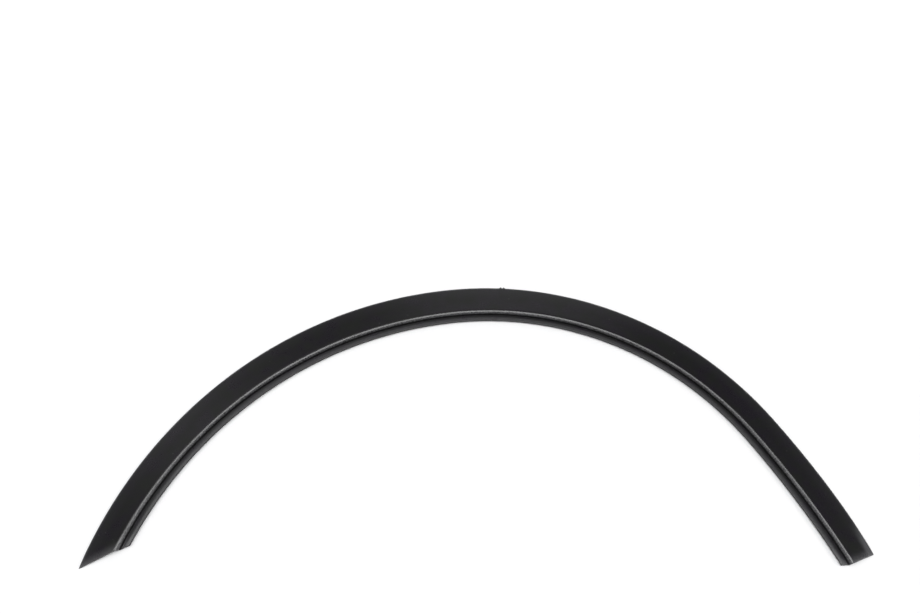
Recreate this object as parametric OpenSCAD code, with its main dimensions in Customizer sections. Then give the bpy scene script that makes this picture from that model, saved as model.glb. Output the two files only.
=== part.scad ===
// Wheel arch trim: one moulded strip of black plastic that follows the edge of
// a car's wheel arch. It lies face up, with its pointed end towards -X, its
// square end towards +X and its crown towards +Y. A wide flange rises from its
// thin outer edge to a crease, steps down into a groove and ends in a narrow lip
// that covers the edge of the arch. It rests on the flat land under its edge,
// where the tape goes.

/* [Crease line] */
// Radius of the crease over the crown
crown_r = 324.5; // [300:0.5:350]
// Radius of the crease along the pointed side
front_r = 390.5; // [370:0.5:430]
// Radius of the crease along the square-ended leg
rear_r = 900; // [600:10:1200]
// Direction where the square-ended leg joins the crown, degrees from +X
rear_join = 34.4; // [33:0.2:40]
// Direction where the crown joins the pointed side
front_join = 95.6; // [91:0.2:100]
// Direction of the square end
rear_end = 24.7; // [22:0.1:28]
// Direction of the pointed tip
tip_end = 162.2; // [155:0.2:168]

/* [Flange edge] */
// Width of the flange, from the crease out to its edge, at the square end
flange_w_heel = 27.3; // [26.6:0.1:30]
// Where the square-ended leg joins the crown
flange_w_rear = 28.7; // [27.4:0.1:31]
// Where the crown joins the pointed side
flange_w_front = 31.9; // [30:0.1:33]
// At the pointed tip
flange_w_tip = 28.2; // [27:0.1:31]

/* [Section] */
// Thickness of the moulded wall
wall_t = 2.6; // [2.4:0.1:2.8]
// Height of the crease, before it is rounded
crease_z = 8.8; // [8.2:0.1:9.4]
// Thickness left at the edge of the flange where it is widest
edge_t = 1.2; // [1:0.1:1.5]
// Width of the step from the crease down to the groove
step_w = 2.3; // [2:0.1:2.7]
// Drop of that step
step_drop = 4.6; // [4.2:0.1:5]
// Width of the gentle slope from the groove up to the top of the lip
lip_slope_w = 3.5; // [3:0.1:3.8]
// How far the top of the lip stands above the groove
lip_rise = 0.5; // [0.3:0.1:0.7]
// Distance from the crease in to the end of the lip
lip_w = 8.7; // [8.2:0.1:9.5]
// How far the lip falls from its top to its end
lip_fall = 0.1; // [0:0.1:0.2]
// Bend from the land up into the back of the flange
land_bend_r = 2; // [1:0.5:4]
// Rounding of the crease
crease_r = 4; // [3.2:0.1:4.4]
// Rounding at the bottom of the groove
groove_r = 0.3; // [0.3:0.1:0.8]
// Rounding over the top of the lip
lip_bend_r = 12; // [6:0.5:14]
// Rounding of the lip's end above and below
lip_end_r = 1.1; // [0.6:0.1:1.1]

/* [Ends] */
// Mitre of the pointed end, degrees away from a square cut
point_angle = 42; // [30:1:50]
// How far the end of the lip slants back at the square end, degrees
lip_bevel = 22; // [10:1:35]

/* [Hidden] */
$fn = 240;
// How far the sweeps run past the ends that cut them, in degrees
past_end = 4;
// What is drawn beyond the flange's edge before it is trimmed off
spare = 2.5;
// How far cuts and trims run past the faces that they open
past_face = 1;
cut_h = crease_z + 2 * past_face;
half_crown = (front_join - rear_join) / 2;
mid_crown = rear_join + half_crown;
far = 3 * rear_r;

// Crease line: three arcs that share a tangent where they join
crown_c = [0, 0];
rear_c = crown_c + (crown_r - rear_r) * dir(rear_join);
front_c = crown_c + (crown_r - front_r) * dir(front_join);
heel_crease = rear_c + rear_r * dir(rear_end);
heel = heel_crease + flange_w_heel * dir(rear_end);
tip = front_c + (front_r + flange_w_tip) * dir(tip_end);

// Edge of the flange: its crown arc is shifted sideways from the crease's, and
// its outer two arcs run on from it without a kink to the heel and to the tip
edge_shift = (flange_w_front - flange_w_rear) / 2 / sin(half_crown);
edge_c = crown_c + edge_shift * dir(mid_crown + 90);
edge_crown_r = crown_r + (flange_w_rear + flange_w_front) / 2;
edge_rear_r = arc_on_r(edge_c + edge_crown_r * dir(rear_join), rear_join, heel);
edge_front_r = arc_on_r(edge_c + edge_crown_r * dir(front_join), front_join, tip);

// Trimmed corner of the lip at the square end
heel_lip = heel_crease - lip_w * dir(rear_end) + lip_w * tan(lip_bevel) * dir(rear_end + 90);

// Middle of the strip's outline, which is the origin
low_y = min(tip.y, heel_crease.y, heel_lip.y);
middle = [(tip.x + heel.x) / 2, (low_y + edge_c.y + edge_crown_r) / 2];

// Corners of the show face, as [distance in from the crease, height]. The
// flange is drawn a little too wide, and is trimmed to its edge
flange_w = max(flange_w_heel, flange_w_rear, flange_w_front, flange_w_tip);
flange_slope = (crease_z - edge_t) / flange_w;
land_out = flange_w + spare;
groove_z = crease_z - step_drop;
lip_z = groove_z + lip_rise;
face = [
    [-land_out, crease_z - land_out * flange_slope],
    [0, crease_z],
    [step_w, groove_z],
    [step_w + lip_slope_w, lip_z],
    [lip_w, lip_z - lip_fall]
];
face_r = [0, crease_r, groove_r, lip_bend_r, lip_end_r];

// The back face runs one wall thickness under it, down to the flat land. A bend
// that is hollow above is wider below, and one that is round above is tighter
land_in = (crease_z - wall_t * sqrt(1 + flange_slope * flange_slope)) / flange_slope;
back = concat([[-land_out, 0], [-land_in, 0]], [for (i = [1:4]) face[i] - wall_t * mitre(i)]);
back_r = [0, land_bend_r, crease_r - wall_t, groove_r + wall_t, lip_bend_r - wall_t, lip_end_r];

section_pts = concat(face, [for (i = [5:-1:0]) back[i]]);
section_r = concat(face_r, [for (i = [5:-1:0]) back_r[i]]);

// Unit vector at an angle
function dir(a) = [cos(a), sin(a)];

// Radius of the arc that leaves a point square to a direction and reaches an end
function arc_on_r(start, direction, end) =
    let (way = end - start)
    -way * way / (2 * way * dir(direction));

// A point rounded to the micron, so that neighbouring stretches share it
function micron(p) = [round(p.x * 1000) / 1000, round(p.y * 1000) / 1000];

// Unit vector from one point to another
function toward(a, b) = (b - a) / norm(b - a);

// Unit normal of the show face between its corners i and i + 1
function face_normal(i) = let (d = toward(face[i], face[i + 1])) [-d.y, d.x];

// Offset of a corner of the show face for a wall one unit thick
function mitre(i) =
    let (
        a = face_normal(max(i - 1, 0)),
        b = face_normal(min(i, 3))
    )
    (a + b) / (1 + a * b);

// Points of the arc of radius r that rounds corner b between a and c
function corner_arc(a, b, c, r) = r == 0 ? [micron(b)] :
    let (
        u = toward(b, a),
        v = toward(b, c),
        half = acos(max(-1, min(1, u * v))) / 2,
        centre = b + r / sin(half) * (u + v) / norm(u + v),
        from = b + r / tan(half) * u - centre,
        turn = 180 - 2 * half,
        side = sign(u.y * v.x - u.x * v.y),
        steps = max(2, ceil(turn * sqrt(r) / 20))
    )
    [for (k = [0:steps])
        let (t = side * turn * k / steps)
        micron(centre + [from.x * cos(t) - from.y * sin(t),
            from.x * sin(t) + from.y * cos(t)])];

// A closed outline with each corner rounded by its own radius
function rounded(pts, radii) =
    let (n = len(pts))
    [for (i = [0:n - 1])
        each corner_arc(pts[(i + n - 1) % n], pts[i], pts[(i + 1) % n], radii[i])];

// The strip's section, with the crease at X = 0
module section() {
    polygon([for (p = rounded(section_pts, section_r)) [-p.x, p.y]]);
}

// Section of what is trimmed off outside an edge
module trimming() {
    translate([0, -past_face])
        square([2 * land_out, cut_h]);
}

// Sweeps a section round one side of the arch, from the middle of the crown (on
// +X) to its end. Both arcs are swept from where they join, and the crown's is
// cut off square at the middle, where the mirrored other side meets it
module sweep_side(crown, leg, leg_sweep) {
    intersection() {
        rotate([0, 0, half_crown]) {
            rotate_extrude(angle = -half_crown - past_face)
                translate([crown, 0])
                    children();
            translate([crown - leg, 0, 0])
                rotate_extrude(angle = leg_sweep)
                    translate([leg, 0])
                        children();
        }
        translate([-far / 2, 0, -2 * past_face])
            cube([far, far, cut_h + 2 * past_face]);
    }
}

// Sweeps a section along the crease line, or along the edge of the flange
module sweep_arch(crown, front, front_sweep, rear, rear_sweep) {
    rotate([0, 0, mid_crown]) {
        sweep_side(crown, front, front_sweep)
            children();
        mirror([0, 1, 0])
            sweep_side(crown, rear, rear_sweep)
                children();
    }
}

// What the mitred cut takes off past the tip
module point_cut() {
    translate([tip.x, tip.y, -past_face])
        rotate([0, 0, tip_end + 180 + point_angle])
            translate([-3 * land_out, -4 * land_out, 0])
                cube([8 * land_out, 4 * land_out, cut_h]);
}

// What the slanting cut takes off the end of the lip
module lip_cut() {
    reach = lip_w + 2 * spare;
    translate([heel_crease.x, heel_crease.y, -past_face])
        rotate([0, 0, rear_end])
            linear_extrude(cut_h)
                polygon([
                    [past_face / tan(lip_bevel), -past_face],
                    [-reach, reach * tan(lip_bevel)],
                    [-reach, -past_face]
                ]);
}

module arch_trim() {
    color([0.1, 0.1, 0.11])
        translate([-middle.x, -middle.y, 0])
            difference() {
                sweep_arch(crown_r, front_r, tip_end - front_join + past_end,
                    rear_r, rear_join - rear_end)
                    section();
                translate([edge_c.x, edge_c.y, 0])
                    sweep_arch(edge_crown_r, edge_front_r, tip_end - front_join + 2 * past_end,
                        edge_rear_r, rear_join - rear_end + 2 * past_end)
                        trimming();
                point_cut();
                lip_cut();
            }
}

arch_trim();
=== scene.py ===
# Wheel arch trim: one moulded strip of satin black plastic, lying face up on a
# white studio floor. Lengths in the dictionaries are millimetres, turned into
# metres where a mesh or a lamp is made, and angles are degrees.
import math

import bpy
import numpy as np
from mathutils import Matrix


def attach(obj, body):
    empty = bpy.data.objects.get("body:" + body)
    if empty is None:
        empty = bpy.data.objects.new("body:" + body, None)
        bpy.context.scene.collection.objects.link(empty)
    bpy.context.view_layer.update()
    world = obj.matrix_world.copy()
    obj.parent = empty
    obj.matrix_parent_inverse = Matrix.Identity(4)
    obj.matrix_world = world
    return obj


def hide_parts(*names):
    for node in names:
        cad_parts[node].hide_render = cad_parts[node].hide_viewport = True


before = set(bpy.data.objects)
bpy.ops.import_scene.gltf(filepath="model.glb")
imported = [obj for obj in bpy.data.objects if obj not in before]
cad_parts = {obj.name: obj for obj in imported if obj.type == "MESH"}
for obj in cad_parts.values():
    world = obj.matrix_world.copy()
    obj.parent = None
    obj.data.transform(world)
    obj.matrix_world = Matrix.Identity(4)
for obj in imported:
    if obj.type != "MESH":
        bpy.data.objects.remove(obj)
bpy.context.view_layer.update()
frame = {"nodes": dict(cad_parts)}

mm = 0.001
farAway = 60.0           # from a cut end, and past all that is made near it
print("frame loaded, nodes:", ", ".join(frame["nodes"]))


# Wiring of materials

class Wire:
    # An output socket that can be used in sums: each operator adds a Math node
    def __init__(self, tree, socket):
        self.tree = tree
        self.socket = socket

    def math(self, operation, first, second):
        node = self.tree.nodes.new("ShaderNodeMath")
        node.operation = operation
        plug(self.tree, first, node.inputs[0])
        plug(self.tree, second, node.inputs[1])
        return Wire(self.tree, node.outputs[0])

    def __add__(self, other):
        return self.math("ADD", self, other)

    def __sub__(self, other):
        return self.math("SUBTRACT", self, other)

    def __rsub__(self, other):
        return self.math("SUBTRACT", other, self)

    def __mul__(self, other):
        return self.math("MULTIPLY", self, other)

    __radd__ = __add__
    __rmul__ = __mul__


def plug(tree, value, socket):
    # A wire is linked, and anything else is written on the socket
    if isinstance(value, Wire):
        tree.links.new(value.socket, socket)
    else:
        socket.default_value = value


class Finish:
    # A material, or the world, whose nodes all come from the method node
    def __init__(self, owner):
        self.owner = owner
        owner.use_nodes = True
        self.tree = owner.node_tree
        self.tree.nodes.clear()

    def node(self, kind, settings, inputs, output=0):
        # A node of a type, with its settings and then its sockets, as one output's wire
        made = self.tree.nodes.new(kind)
        for key, value in settings.items():
            setattr(made, key, value)
        for key, value in inputs.items():
            plug(self.tree, value, made.inputs[key])
        return Wire(self.tree, made.outputs[output] if made.outputs else None)

    def noise(self, place, size, detail=2.0, roughness=0.5):
        # Noise whose lumps are about size millimetres across
        return self.node("ShaderNodeTexNoise", {}, {
            "Vector": place, "Scale": 1 / (size * mm), "Detail": detail, "Roughness": roughness})

    def ramp(self, value, low, high, fromOut=0.0, toOut=1.0):
        # Smooth change from fromOut at low to toOut at high, which may lie below low
        return self.node("ShaderNodeMapRange", {"interpolation_type": "SMOOTHSTEP"}, {
            "Value": value, "From Min": low, "From Max": high, "To Min": fromOut, "To Max": toOut})

    def rise(self, distance, limits, fromOut=0.0, toOut=1.0):
        # The same, with its two limits in millimetres
        return self.ramp(distance, limits[0] * mm, limits[1] * mm, fromOut, toOut)

    def blend(self, factor, first, second):
        # Mix of two colours, whose sockets have the numbers 6 and 7, and 2 for the result
        return self.node("ShaderNodeMix", {"data_type": "RGBA"}, {
            "Factor": factor, 6: first, 7: second}, 2)

    def close(self, shader):
        # The shader becomes the surface of the material, or of the world
        isWorld = isinstance(self.owner, bpy.types.World)
        kind = "ShaderNodeOutputWorld" if isWorld else "ShaderNodeOutputMaterial"
        self.node(kind, {}, {"Surface": shader})


# The strip

trim = {
    # Crease line, three arcs that share a tangent where they join
    "crownRadius": 324.5, "frontRadius": 390.5, "rearRadius": 900.0,
    "rearJoin": 34.4, "frontJoin": 95.6, "rearEnd": 24.7, "tipEnd": 162.2,
    # Width of the flange at the heel, at the two joins and at the tip
    "flangeHeel": 27.3, "flangeRear": 28.7, "flangeFront": 31.9, "flangeTip": 28.2,
    # Section
    "wall": 2.6, "creaseHeight": 8.8, "edgeHeight": 1.2, "stepWidth": 2.3, "stepDrop": 4.6,
    "lipSlopeWidth": 3.5, "lipRise": 0.5, "lipWidth": 8.7, "lipFall": 0.1,
    "creaseRound": 4.0, "grooveRound": 0.3, "lipBend": 12.0, "lipEnd": 1.1,
    "landBend": 2.0, "edgeRound": 0.35,
    # Ends
    "pointAngle": 42.0, "lipBevel": 22.0, "cutRound": 0.35,
    "squareSlant": 3.0,                          # of the flange's part of the square end
    # Draws the outer edge in towards that end, and holds at the limit past it
    "heelTaper": 1.3, "taperLength": 60, "taperLimit": 1.1,
    "easeLength": 11.0, "easeDrop": 0.9,         # fall of the show side towards both ends
    # Two burrs on the outer edge, at these directions, with closer rows in their reach
    "burrs": (86.18, 86.72), "burrHeight": 1.5, "burrSpread": 0.17, "burrReach": 0.4,
    # Fineness of the mesh
    "rings": 400, "burrRings": 36, "endRings": 26, "roundRings": 4, "endCrowding": 0.8,
    "heelFan": 2.6, "tipFan": 9.0,               # degrees over which the rows fan out to a cut
    # Directions around each end between which its cut is looked for, and how finely
    "heelSearch": (-4.0, 4.0), "tipSearch": (-16.0, 4.0), "halvings": 44,
}


def direction(angle):
    # Unit vectors (cos, sin) of angles in degrees
    turn = np.radians(angle)
    return np.stack([np.cos(turn), np.sin(turn)], -1)


def archLines(t):
    # Centres and radii of the crease line's arcs and of the flange edge's arcs,
    # with the places that follow from them, as the part's source works them out
    joins = t["rearJoin"], t["frontJoin"]
    half = (joins[1] - joins[0]) / 2
    crown = np.zeros(2)
    rear = crown + (t["crownRadius"] - t["rearRadius"]) * direction(joins[0])
    front = crown + (t["crownRadius"] - t["frontRadius"]) * direction(joins[1])
    heelCrease = rear + t["rearRadius"] * direction(t["rearEnd"])
    tip = front + (t["frontRadius"] + t["flangeTip"]) * direction(t["tipEnd"])
    shift = (t["flangeFront"] - t["flangeRear"]) / 2 / math.sin(math.radians(half))
    edgeCrown = crown + shift * direction(joins[0] + half + 90)
    edgeRadius = t["crownRadius"] + (t["flangeRear"] + t["flangeFront"]) / 2

    def legArc(join, end):
        # Arc that runs on without a kink from a join of the edge to its end: with w
        # the way between them and d the join's direction, its radius is -w.w / (2 w.d)
        start = edgeCrown + edgeRadius * direction(join)
        way = end - start
        radius = -way @ way / (2 * way @ direction(join))
        return start - radius * direction(join), radius

    heel = heelCrease + t["flangeHeel"] * direction(t["rearEnd"])
    edgeRear, edgeRearRadius = legArc(joins[0], heel)
    edgeFront, edgeFrontRadius = legArc(joins[1], tip)
    lipCorner = (heelCrease - t["lipWidth"] * direction(t["rearEnd"])
        + t["lipWidth"] * math.tan(math.radians(t["lipBevel"])) * direction(t["rearEnd"] + 90))
    low = min(tip[1], heelCrease[1], lipCorner[1])
    middle = np.array([(tip[0] + heel[0]) / 2, (low + edgeCrown[1] + edgeRadius) / 2])
    return {
        "crease": [(rear, t["rearRadius"]), (crown, t["crownRadius"]), (front, t["frontRadius"])],
        "edge": [(edgeRear, edgeRearRadius), (edgeCrown, edgeRadius), (edgeFront, edgeFrontRadius)],
        "heelCrease": heelCrease, "tip": tip, "middle": middle,
    }


def pickArc(arcs, stretch):
    # Centre and radius at each station, for the number of its stretch
    centres = np.array([centre for centre, radius in arcs])
    radii = np.array([radius for centre, radius in arcs])
    return centres[stretch], radii[stretch]


def stretchOf(t, angle):
    # 0 on the square-ended leg, 1 over the crown, 2 along the pointed side
    return (angle > t["rearJoin"]).astype(int) + (angle > t["frontJoin"]).astype(int)


def flangeWidth(t, lines, angle):
    # Distance from the crease out to the flange's edge, along the crease's normal:
    # the far root of |c + (r + w) d - e| = R for the edge's arc that is met there,
    # less a taper towards the heel that grows by a square law, and with two tiny
    # burrs on the crown that rise and fall by exp(-x^2)
    centre, radius = pickArc(lines["crease"], stretchOf(t, angle))
    out = direction(angle)
    widths = []
    for edge, edgeRadius in lines["edge"]:
        off = centre - edge
        along = (off * out).sum(-1)
        root = np.sqrt(edgeRadius ** 2 - (off * off).sum(-1) + along ** 2)
        widths.append(root - along - radius)
    crownEdge = lines["edge"][1][0]
    met = centre + (radius + widths[1])[..., None] * out - crownEdge
    bearing = np.degrees(np.arctan2(met[..., 1], met[..., 0]))
    width = np.where(bearing > t["frontJoin"], widths[2], widths[1])
    width = np.where(bearing < t["rearJoin"], widths[0], width)
    fromHeel = np.radians(angle - t["rearEnd"]) * t["rearRadius"]
    taper = t["heelTaper"] * np.clip(1 - fromHeel / t["taperLength"], 0, t["taperLimit"]) ** 2
    burrs = sum(np.exp(-((angle - place) / t["burrSpread"]) ** 2) for place in t["burrs"])
    return width - taper + t["burrHeight"] * burrs


def cornerArc(before, corner, after, radius, count):
    # Points of the arc that rounds a corner, and its unit normals to the left: its
    # centre lies r / sin(half the corner's angle) from the corner, along the bisector
    toBefore = (before - corner) / np.linalg.norm(before - corner)
    toAfter = (after - corner) / np.linalg.norm(after - corner)
    bisector = toBefore + toAfter
    half = math.acos(np.clip(toBefore @ toAfter, -1, 1)) / 2
    centre = corner + radius / math.sin(half) * bisector / np.linalg.norm(bisector)
    start = corner + radius / math.tan(half) * toBefore - centre
    side = np.sign(toBefore[1] * toAfter[0] - toBefore[0] * toAfter[1])
    turn = side * (math.pi - 2 * half) * np.linspace(0, 1, count)
    ring = np.stack([start[0] * np.cos(turn) - start[1] * np.sin(turn),
        start[0] * np.sin(turn) + start[1] * np.cos(turn)], -1)
    return centre + ring, -side * ring / radius


def drawnWidth(t):
    # Width of the flange at which the section is drawn, which is its greatest one
    return max(t["flangeHeel"], t["flangeRear"], t["flangeFront"], t["flangeTip"])


def flangeSlope(t):
    # Fall from the crease to the edge, over that width
    return (t["creaseHeight"] - t["edgeHeight"]) / drawnWidth(t)


def sectionCorners(t):
    # Corners of the closed section, as [distance in from the crease, height]: the
    # show face, then the back one wall thickness under it, where each corner lies
    # wall (a + b) / (1 + a.b) below the face's for the unit normals a and b beside it
    width, slope = drawnWidth(t), flangeSlope(t)
    groove = t["creaseHeight"] - t["stepDrop"]
    lip = groove + t["lipRise"]
    face = np.array([
        [-width, t["creaseHeight"] - width * slope],
        [0, t["creaseHeight"]],
        [t["stepWidth"], groove],
        [t["stepWidth"] + t["lipSlopeWidth"], lip],
        [t["lipWidth"], lip - t["lipFall"]],
    ])
    way = np.diff(face, axis=0)
    normal = np.stack([-way[:, 1], way[:, 0]], -1) / np.linalg.norm(way, axis=1)[:, None]
    before, after = normal, normal[[1, 2, 3, 3]]
    under = face[1:] - t["wall"] * (before + after) / (1 + (before * after).sum(-1))[:, None]
    land = (t["creaseHeight"] - t["wall"] * math.hypot(1, slope)) / slope
    return np.concatenate([face, under[::-1], [[-land, 0], [-width, 0]]])


def sectionProfile(t):
    # The closed section as whole arrays: distance in from the crease, with the
    # flange's width taken off, height, unit normal, share of that width which pushes
    # a point out (1 on the edge, 0 from the crease or the land inwards), and share of
    # the show side (1 there, 0 on the back). The number of points is even, and its
    # halves face each other, so that quads between them close the cut ends
    corners = sectionCorners(t)
    last, faceCorners = len(corners), 5
    wall = t["wall"]
    rounds = [t["edgeRound"], t["creaseRound"], t["grooveRound"], t["lipBend"], t["lipEnd"],
        t["lipEnd"], t["lipBend"] - wall, t["grooveRound"] + wall, t["creaseRound"] - wall,
        t["landBend"], t["edgeRound"]]
    # Points on each corner's arc, and between it and the next
    arcSteps = [6, 17, 6, 7, 9, 9, 6, 8, 5, 5, 6]
    flatSteps = [20, 5, 2, 7, 1, 7, 2, 5, 16, 4, 1]
    arcs = [cornerArc(corners[i - 1], corners[i], corners[(i + 1) % last], rounds[i], arcSteps[i])
        for i in range(last)]
    onEdge = [float(i in (0, last - 1)) for i in range(last)]
    onShow = [float(i < faceCorners) for i in range(last)]
    points, normals, shares, shows = [], [], [], []
    for i, (arc, arcNormal) in enumerate(arcs):
        j = (i + 1) % last
        mix = np.linspace(0, 1, flatSteps[i] + 2)[1:-1]
        rest = 1 - mix
        points += [arc, np.outer(rest, arc[-1]) + np.outer(mix, arcs[j][0][0])]
        normals += [arcNormal, np.outer(rest, arcNormal[-1]) + np.outer(mix, arcs[j][1][0])]
        shares += [np.full(len(arc), onEdge[i]), rest * onEdge[i] + mix * onEdge[j]]
        shows += [np.full(len(arc), onShow[i]), rest * onShow[i] + mix * onShow[j]]
    points, normals = np.concatenate(points), np.concatenate(normals)
    shares, shows = np.concatenate(shares), np.concatenate(shows)
    return points[:, 0] + drawnWidth(t) * shares, points[:, 1], normals, shares, shows


def stripPoint(t, lines, inward, shares, angle):
    # Plan of a section point at a direction: c + (r + share w - inward) d
    centre, radius = pickArc(lines["crease"], stretchOf(t, angle))
    out = radius + shares * flangeWidth(t, lines, angle) - inward
    return centre + out[..., None] * direction(angle)


def cutDistance(t, lines, plan):
    # How far inside the two cut ends a point lies: the square end is cut along the
    # radius at rearEnd, a little longer outwards and with the lip slanted back, and
    # the pointed end is mitred
    square = direction(t["rearEnd"] + 90)
    fromSquare = (plan - lines["heelCrease"]) @ square
    outward = (plan - lines["heelCrease"]) @ direction(t["rearEnd"])
    fromSquare = fromSquare + math.tan(math.radians(t["squareSlant"])) * np.maximum(outward, 0)
    bevel = math.radians(t["lipBevel"])
    slant = math.cos(bevel) * square + math.sin(bevel) * direction(t["rearEnd"])
    fromSlant = (plan - lines["heelCrease"]) @ slant
    mitre = direction(t["tipEnd"] + 180 + t["pointAngle"] + 90)
    fromPoint = (plan - lines["tip"]) @ mitre
    return np.minimum(fromSquare, fromSlant), fromPoint


def angleAtCut(t, lines, inward, shares, end, depth):
    # Direction at which each section point lies depth inside cut 0, the square end, or
    # cut 1, the pointed end, by halving the span of directions around that end
    around, search = ((t["rearEnd"], t["heelSearch"]), (t["tipEnd"], t["tipSearch"]))[end]
    low = np.full(inward.shape, around + search[0])
    high = np.full(inward.shape, around + search[1])
    for halving in range(t["halvings"]):
        middle = (low + high) / 2
        plan = stripPoint(t, lines, inward, shares, middle)
        inside = cutDistance(t, lines, plan)[end] > depth
        goUp = inside if end == 1 else ~inside
        low, high = np.where(goUp, middle, low), np.where(goUp, high, middle)
    return (low + high) / 2


def stripSurface(t):
    # The strip is its section carried along the arch: rows of directions times
    # section points. Near each cut the rows fan out until the last one lies in it,
    # and a few more rows draw the section in by a quarter circle to round the edge.
    # On the show side the height falls with the flange's width, and it eases down
    # by a square law towards the cuts
    lines = archLines(t)
    inward, height, normals, shares, shows = sectionProfile(t)
    quarter = np.linspace(0, math.pi / 2, t["roundRings"] + 1)[1:]
    inset = t["cutRound"] * (1 - np.cos(quarter))
    depth = t["cutRound"] * (1 - np.sin(quarter))

    def endRows(end, frontier):
        # The rows from a direction to a cut, and on round its edge
        reach = angleAtCut(t, lines, inward, shares, end, t["cutRound"])
        rows = [(inward, height, (1 - mix) * frontier + mix * reach)
            for mix in np.linspace(0, 1, t["endRings"]) ** t["endCrowding"]]
        for amount, back in zip(inset, depth):
            moved = inward - amount * normals[:, 0]
            lowered = height - amount * normals[:, 1]
            rows.append((moved, lowered, angleAtCut(t, lines, moved, shares, end, back)))
        return rows

    startAngle, stopAngle = t["rearEnd"] + t["heelFan"], t["tipEnd"] - t["tipFan"]
    firstBurr, lastBurr = min(t["burrs"]) - t["burrReach"], max(t["burrs"]) + t["burrReach"]
    angles = np.union1d(np.linspace(startAngle, stopAngle, t["rings"])[1:-1],
        np.linspace(firstBurr, lastBurr, t["burrRings"]))
    between = [(inward, height, np.full(inward.shape, angle)) for angle in angles]
    rows = endRows(0, startAngle)[::-1] + between + endRows(1, stopAngle)
    rowInward, rowHeight, angle = (np.array(part) for part in zip(*rows))
    stretch = stretchOf(t, angle)
    width = flangeWidth(t, lines, angle)
    plan = stripPoint(t, lines, rowInward, shares, angle)
    fromSquare, fromPoint = cutDistance(t, lines, plan)
    fromSquare = np.where(stretch < 1, np.minimum(fromSquare, farAway), farAway)
    fromPoint = np.where(stretch > 1, np.minimum(fromPoint, farAway), farAway)
    ease = np.clip(1 - np.minimum(fromSquare, fromPoint) / t["easeLength"], 0, 1) ** 2
    lift = flangeSlope(t) * shares * shows * (drawnWidth(t) - width) - t["easeDrop"] * ease * shows
    grid = np.concatenate([plan - lines["middle"], (rowHeight + lift)[..., None]], -1) * mm

    # Length along the crease, radius times angle, with each arc's offset for its start
    radius = pickArc(lines["crease"], stretch)[1]
    joins = np.radians([0.0, t["rearJoin"], t["frontJoin"]])
    radii = np.array([t["rearRadius"], t["crownRadius"], t["frontRadius"]])
    offset = np.cumsum(np.concatenate([[0.0], joins[1:] * (radii[:-1] - radii[1:])]))
    along = np.radians(angle) * radius + offset[stretch]
    across = rowInward - shares * width
    layers = {
        "strip": (along * mm, across * mm),
        "ends": (fromSquare * mm, fromPoint * mm),
        "rim": ((across + width) * mm, np.broadcast_to(shows, across.shape)),
    }
    return grid, layers


def meshFromGrid(name, grid, layers):
    # Mesh of a grid of points, with a UV map for each pair of arrays in layers.
    # Quads between neighbouring rows and columns, closed round the section, with
    # the two cut ends closed by quads between its face and its back
    rows, columns = grid.shape[:2]
    index = np.arange(rows * columns).reshape(rows, columns)
    nextColumn = np.roll(index, -1, axis=1)
    sides = np.stack([index[:-1], nextColumn[:-1], nextColumn[1:], index[1:]], -1).reshape(-1, 4)
    faceSide = np.arange(columns // 2)
    backSide = columns - 1 - faceSide
    caps = []
    for row, order in ((0, (0, 1, 2, 3)), (rows - 1, (3, 2, 1, 0))):
        cap = np.stack([index[row, faceSide[:-1]], index[row, backSide[:-1]],
            index[row, backSide[1:]], index[row, faceSide[1:]]], -1)
        caps.append(cap[:, order])
    faces = np.concatenate([sides] + caps)
    mesh = bpy.data.meshes.new(name)
    mesh.vertices.add(rows * columns)
    mesh.vertices.foreach_set("co", grid.reshape(-1).astype(np.float32))
    mesh.loops.add(faces.size)
    mesh.loops.foreach_set("vertex_index", faces.reshape(-1).astype(np.int32))
    mesh.polygons.add(len(faces))
    mesh.polygons.foreach_set("loop_start", np.arange(0, faces.size, 4, dtype=np.int32))
    mesh.update(calc_edges=True)
    smooth = np.ones(len(faces), dtype=bool)
    smooth[len(sides):] = False
    mesh.polygons.foreach_set("use_smooth", smooth)
    for layer, (first, second) in layers.items():
        pair = np.stack([first.reshape(-1), second.reshape(-1)], -1)[faces.reshape(-1)]
        mesh.uv_layers.new(name=layer).data.foreach_set("uv", pair.reshape(-1).astype(np.float32))
    mesh.validate()
    return mesh


# Finish of the plastic

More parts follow.
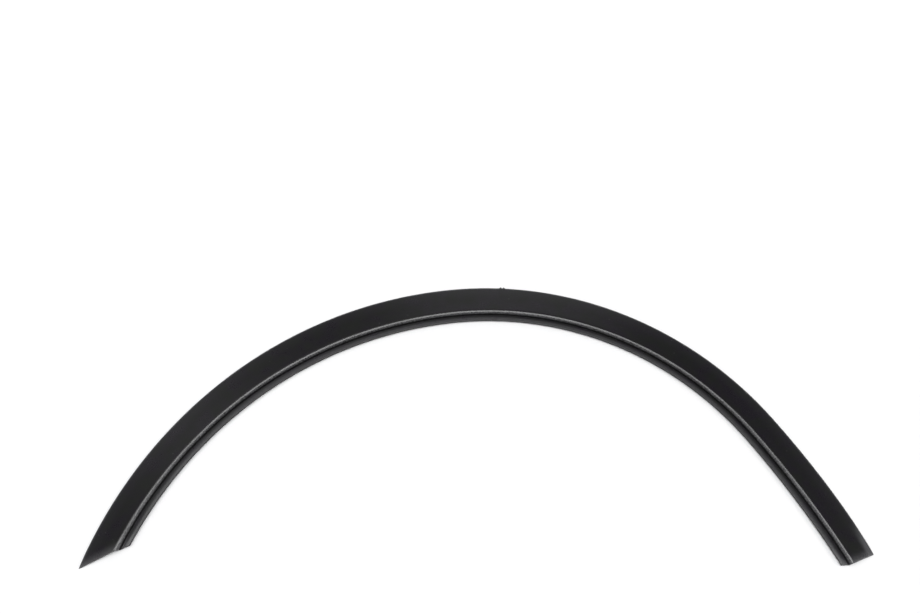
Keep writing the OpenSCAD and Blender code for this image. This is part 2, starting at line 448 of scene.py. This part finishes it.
plastic = {
    "black": (0.0064, 0.0050, 0.0082, 1),        # the moulded face, in patches of two tones
    "blackToo": (0.0052, 0.0058, 0.0050, 1),
    "sheenAndWear": (0.060, 0.060, 0.063, 1),            # rubbed crease with painted highlight, painted sheen on lip, rim and ends
    # painted shade for the groove and the lip's inner rim
    "groove": (0.002, 0.002, 0.002, 1),
    "dust": (0.30, 0.30, 0.29, 1),
    "roughness": 0.30,
    "patchRoughness": 0.12, "grainRoughness": 0.10, "rubbedRoughness": 0.04,
    # Sizes of the lumps in the noises, and how deep they are
    "grainSize": 0.8, "lumpSize": 2.08, "grainDepth": 0.018, "grainShare": 0.7, "lumpShare": 0.6,
    "scuffSize": 1.4, "scuffDepth": 0.12,        # pits of the rubbed crease
    "patchSize": 14.0, "patchSpan": (0.3, 0.7),  # noise values between the two blacks
    # Specks of dust: how far apart, and the share of that distance in which they fade
    "speckSpacing": 9.0, "speckSpan": (0.035, 0.02), "speckShare": 0.6,
    # How scuffs and lumps break up the rubbing and the painted sheen: two noise values and their
    # shares
    "scuffSpan": (0.42, 0.60, 0.05, 1.05), "lumpSpan": (0.25, 0.65, 0.75, 1.1),
    "showSpan": (0.4, 0.95),                     # share of the show side where rubbing and painted sheen start
    # Where each rubbed, painted-sheen or painted-shade place grows from nothing to full: in from
    # the crease,
    "creaseOuter": (-2.0, -0.4), "creaseInner": (2.2, 0.6),
    "grooveOuter": (0.9, 1.6), "grooveInner": (3.0, 2.2),
    "lipSpan": (2.8, 6.4), "lipEndSpan": (4.5, 7.5), "lipUnderSpan": (6.6, 8.2),
    "pointInner": (2.0, -1.0),
    # in from the outer edge,
    "rimSpan": (16.0, 0.0), "edgeSpan": (2.4, 0.8), "cornerSpan": (9.0, 0.0),
    # and along the strip from its cut ends
    "squareLength": (9.0, 0.0), "cornerLength": (38.0, 2.0), "lipEndLength": (28.0, 2.0),
    "pointLength": (9.0, 0.0), "lipLength": (0.0, 55.0), "lipAtPoint": 0.3,
    # Share of the pale tone (rubbing with painted highlight on the crease, painted sheen elsewhere)
    # in each place, and of the painted groove shade in the shaded ones
    "creaseWearAndHighlight": 1.15, "lipSheen": 0.52, "rimSheen": 0.10, "edgeSheen": 0.6, "pointSheen": 0.5,
    "endSheen": 0.5, "cornerSheen": 1.7, "lipEndSheen": 0.9,
    "grooveShade": 0.78, "lipUnderShade": 0.4,
}


def mouldedPlastic(p):
    # Black plastic with a fine grain, paler and pitted where it is rubbed, with painted highlight
    # on the crease, painted sheen on the lip, rim and ends, and painted shade in the groove and on
    # the lip's inner rim
    material = Finish(bpy.data.materials.new("moulded black plastic"))
    place = material.node("ShaderNodeTexCoord", {}, {}, "Object")

    def coordinate(layer, axis):
        # One of the two values that a layer of the mesh holds
        pair = material.node("ShaderNodeUVMap", {"uv_map": layer}, {})
        return material.node("ShaderNodeSeparateXYZ", {}, {"Vector": pair}, axis)

    across = coordinate("strip", "Y")            # in from the crease
    fromSquare = coordinate("ends", "X")
    fromPoint = coordinate("ends", "Y")
    fromEdge = coordinate("rim", "X")            # in from the outer edge
    show = material.ramp(coordinate("rim", "Y"), *p["showSpan"])    # the back gets no rubbing and no painted sheen

    grain = material.noise(place, p["grainSize"], 3.0, 0.6)
    lumps = material.noise(place, p["lumpSize"], 2.0)
    patches = material.noise(place, p["patchSize"], 3.0)
    scuffs = material.noise(place, p["scuffSize"], 4.0, 0.7)

    # Rubbed band over the crease and down the step, partly real rubbing and partly painted
    # highlight, broken up by noise, and the groove under it, darkened with painted shade
    crease = material.rise(across, p["creaseOuter"]) * material.rise(across, p["creaseInner"])
    crease = crease * show
    creaseRubAndHighlight = crease * material.ramp(scuffs, *p["scuffSpan"])
    groove = material.rise(across, p["grooveOuter"]) * material.rise(across, p["grooveInner"])

    # Painted sheen: the lip pales inwards, though less near the point, and the rim and
    # outer edge pale outwards. Both ends get painted sheen, most of all the outer corner of the
    # square one
    lip = material.rise(across, p["lipSpan"])
    lip = lip * material.rise(fromPoint, p["lipLength"], p["lipAtPoint"], 1.0)
    rim = material.rise(fromEdge, p["rimSpan"])
    edge = material.rise(fromEdge, p["edgeSpan"])
    squareEndSheenBand = material.rise(fromSquare, p["squareLength"])
    corner = material.rise(fromEdge, p["cornerSpan"]) * material.rise(fromSquare, p["cornerLength"])
    lipEnd = material.rise(across, p["lipEndSpan"]) * material.rise(fromSquare, p["lipEndLength"])
    pointEndSheenBand = material.rise(fromPoint, p["pointLength"]) * material.rise(across, p["pointInner"])
    # Pale tone: real rubbing and painted highlight on the crease, painted sheen on the lip, rim,
    # edge and ends
    sheenAndWear = (creaseRubAndHighlight * p["creaseWearAndHighlight"] + lip * p["lipSheen"] + rim * p["rimSheen"]
        + edge * p["edgeSheen"] + squareEndSheenBand * p["endSheen"] + corner * p["cornerSheen"]
        + lipEnd * p["lipEndSheen"] + pointEndSheenBand * p["pointSheen"])
    sheenAndWear = sheenAndWear * material.ramp(lumps, *p["lumpSpan"]) * show

    specks = material.node("ShaderNodeTexVoronoi", {}, {
        "Vector": place, "Scale": 1 / (p["speckSpacing"] * mm)}, "Distance")
    dust = material.ramp(specks, *p["speckSpan"])

    tone = material.blend(material.ramp(patches, *p["patchSpan"]), p["black"], p["blackToo"])
    # The pale tone laid over the black: real rubbing on the crease plus painted highlight there,
    # and painted sheen on the lip, rim, edge and ends
    tone = material.blend(sheenAndWear, tone, p["sheenAndWear"])
    tone = material.blend(dust * p["speckShare"], tone, p["dust"])
    roughness = ((patches - 0.5) * p["patchRoughness"] + (grain - 0.5) * p["grainRoughness"]
        + p["roughness"] + creaseRubAndHighlight * p["rubbedRoughness"])
    bumps = ((grain * p["grainShare"] + lumps * p["lumpShare"]) * p["grainDepth"]
        + scuffs * crease * p["scuffDepth"])
    pitted = material.node("ShaderNodeBump", {}, {"Strength": 1.0, "Distance": mm, "Height": bumps})
    shader = material.node("ShaderNodeBsdfPrincipled", {}, {
        "Base Color": tone, "Roughness": roughness, "Specular IOR Level": 0.5, "Normal": pitted})
    # Painted shade: a plain dark diffuse mixed over the groove and the lip's inner rim, darkening
    # them and taking their highlights away
    shade = material.node("ShaderNodeBsdfDiffuse", {}, {"Color": p["groove"]})
    lipUnder = material.rise(across, p["lipUnderSpan"])
    shaded = groove * p["grooveShade"] + lipUnder * p["lipUnderShade"]
    material.close(material.node("ShaderNodeMixShader", {}, {"Fac": shaded, 1: shader, 2: shade}))
    return material.owner


trimMesh = meshFromGrid("archTrim", *stripSurface(trim))
archTrim = bpy.data.objects.new("archTrim", trimMesh)
bpy.context.scene.collection.objects.link(archTrim)
trimMesh.materials.append(mouldedPlastic(plastic))
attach(archTrim, "root")
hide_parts("arch_trim")
print("strip made:", len(trimMesh.polygons), "faces")


# Lamps and world

lamps = {
    # name: place, aim, size across and along, power in watts
    "overhead": ((180, -480, 1900), (180, -480, 0), (1050, 1000), 31.0),
    "overhead left": ((-750, 60, 1900), (-750, 60, 0), (600, 800), 7.0),
    "back": ((300, 2500, 1500), (0, 0, 0), (1500, 800), 2.7),
    "right": ((1800, -500, 1200), (0, 0, 0), (1200, 1000), 14.0),
    "left": ((-1500, -500, 1200), (0, 0, 0), (1200, 1000), 7.0),
    "front": ((0, -2100, 1200), (0, 0, 0), (1200, 1000), 3.0),
    "high left": ((-750, 1410, 2000), (0, 0, 0), (2200, 520), 3.1),
}
world = {"tone": (1, 1, 1, 1), "strength": 0.13}


def standAt(name, data, place, side, up, back):
    # A lamp or camera at a place, with its own axes along side, up and back
    holder = bpy.data.objects.new(name, data)
    turn = Matrix(np.stack([side, up, back], 1)).to_4x4()
    holder.matrix_world = Matrix.Translation(np.array(place) * mm) @ turn
    bpy.context.scene.collection.objects.link(holder)
    return holder


def addLamp(name, place, aim, size, power):
    # A rectangular lamp that shines from its place to its aim and isn't seen itself
    lamp = bpy.data.lights.new(name, "AREA")
    lamp.shape = "RECTANGLE"
    lamp.size, lamp.size_y = size[0] * mm, size[1] * mm
    lamp.energy = power
    back = np.array(place, dtype=float) - np.array(aim, dtype=float)
    back /= np.linalg.norm(back)
    side = np.cross((0, 1, 0), back)
    side /= np.linalg.norm(side)
    holder = standAt(name, lamp, place, side, np.cross(back, side), back)
    holder.visible_camera = False


for name, (place, aim, size, power) in lamps.items():
    addLamp(name, place, aim, size, power)

sky = bpy.data.worlds.new("studio")
bpy.context.scene.world = sky
skyFinish = Finish(sky)
skyFinish.close(skyFinish.node("ShaderNodeBackground", {}, {
    "Color": world["tone"], "Strength": world["strength"]}))
print("lamps set")


# Floor

floor = {
    "size": 16000.0,
    "white": (0.78, 0.78, 0.785, 1), "roughness": 0.9,
    # Glow that keeps the floor white where the lamps fall off, by distance from a point
    "liftFrom": (100, -560, 0),
    "near": 500.0, "far": 1700.0, "farLift": 0.7,
    "beyond": 1500.0, "horizon": 2800.0, "horizonLift": 0.3,
}


def whiteFloor(f):
    # Plain white, with a glow that is seen and mirrored but lights nothing: it grows
    # from near to far, and again from beyond to the horizon
    material = Finish(bpy.data.materials.new("white floor"))
    seen = material.node("ShaderNodeLightPath", {}, {}, "Is Camera Ray")
    shiny = material.node("ShaderNodeLightPath", {}, {}, "Is Glossy Ray")
    through = material.node("ShaderNodeLightPath", {}, {}, "Is Transmission Ray")
    place = material.node("ShaderNodeTexCoord", {}, {}, "Object")
    away = material.node("ShaderNodeVectorMath", {"operation": "DISTANCE"}, {
        0: place, 1: np.array(f["liftFrom"]) * mm}, 1)
    lift = (material.rise(away, (f["near"], f["far"]), 0.0, f["farLift"])
        + material.rise(away, (f["beyond"], f["horizon"]), 0.0, f["horizonLift"]))
    lift = lift * (seen + shiny + through)
    glow = material.node("ShaderNodeCombineColor", {}, {"Red": lift, "Green": lift, "Blue": lift})
    shader = material.node("ShaderNodeBsdfPrincipled", {}, {
        "Base Color": f["white"], "Roughness": f["roughness"], "Specular IOR Level": 0.0,
        "Emission Color": glow, "Emission Strength": 1.0})
    material.close(shader)
    return material.owner


half = floor["size"] * mm / 2
floorCorners = [(-half, -half, 0), (half, -half, 0), (half, half, 0), (-half, half, 0)]
floorMesh = bpy.data.meshes.new("floor")
floorMesh.from_pydata(floorCorners, [], [(0, 1, 2, 3)])
floorMesh.materials.append(whiteFloor(floor))
floorPiece = bpy.data.objects.new("floor", floorMesh)
bpy.context.scene.collection.objects.link(floorPiece)
print("floor laid")


# Camera, at the place from which the photograph shows the strip

camera = {
    "place": (-21.86, -395.54, 1048.78),
    "pitch": 63.3,                               # degrees below level
    "yaw": -1.145,
    "focal": 1100.0,                             # in pixels of the photograph's 920
    "width": 920.0, "sensor": 36.0,
    "clip": (0.01, 50.0),                        # metres
}


def addCamera(c):
    # A camera that looks along (-sin y cos p, cos y cos p, -sin p), for its yaw y and
    # pitch p
    lens = bpy.data.cameras.new("camera")
    lens.sensor_fit = "HORIZONTAL"
    lens.sensor_width = c["sensor"]
    lens.lens = c["focal"] * c["sensor"] / c["width"]
    lens.clip_start, lens.clip_end = c["clip"]
    pitch, yaw = math.radians(c["pitch"]), math.radians(c["yaw"])
    side = np.array([math.cos(yaw), math.sin(yaw), 0])
    level = math.cos(pitch)
    ahead = np.array([-math.sin(yaw) * level, math.cos(yaw) * level, -math.sin(pitch)])
    up = np.cross(side, ahead)
    bpy.context.scene.camera = standAt("camera", lens, c["place"], side, up, -ahead)


addCamera(camera)
bpy.context.scene.view_settings.view_transform = "Standard"
print("camera set")

bpy.context.view_layer.update()
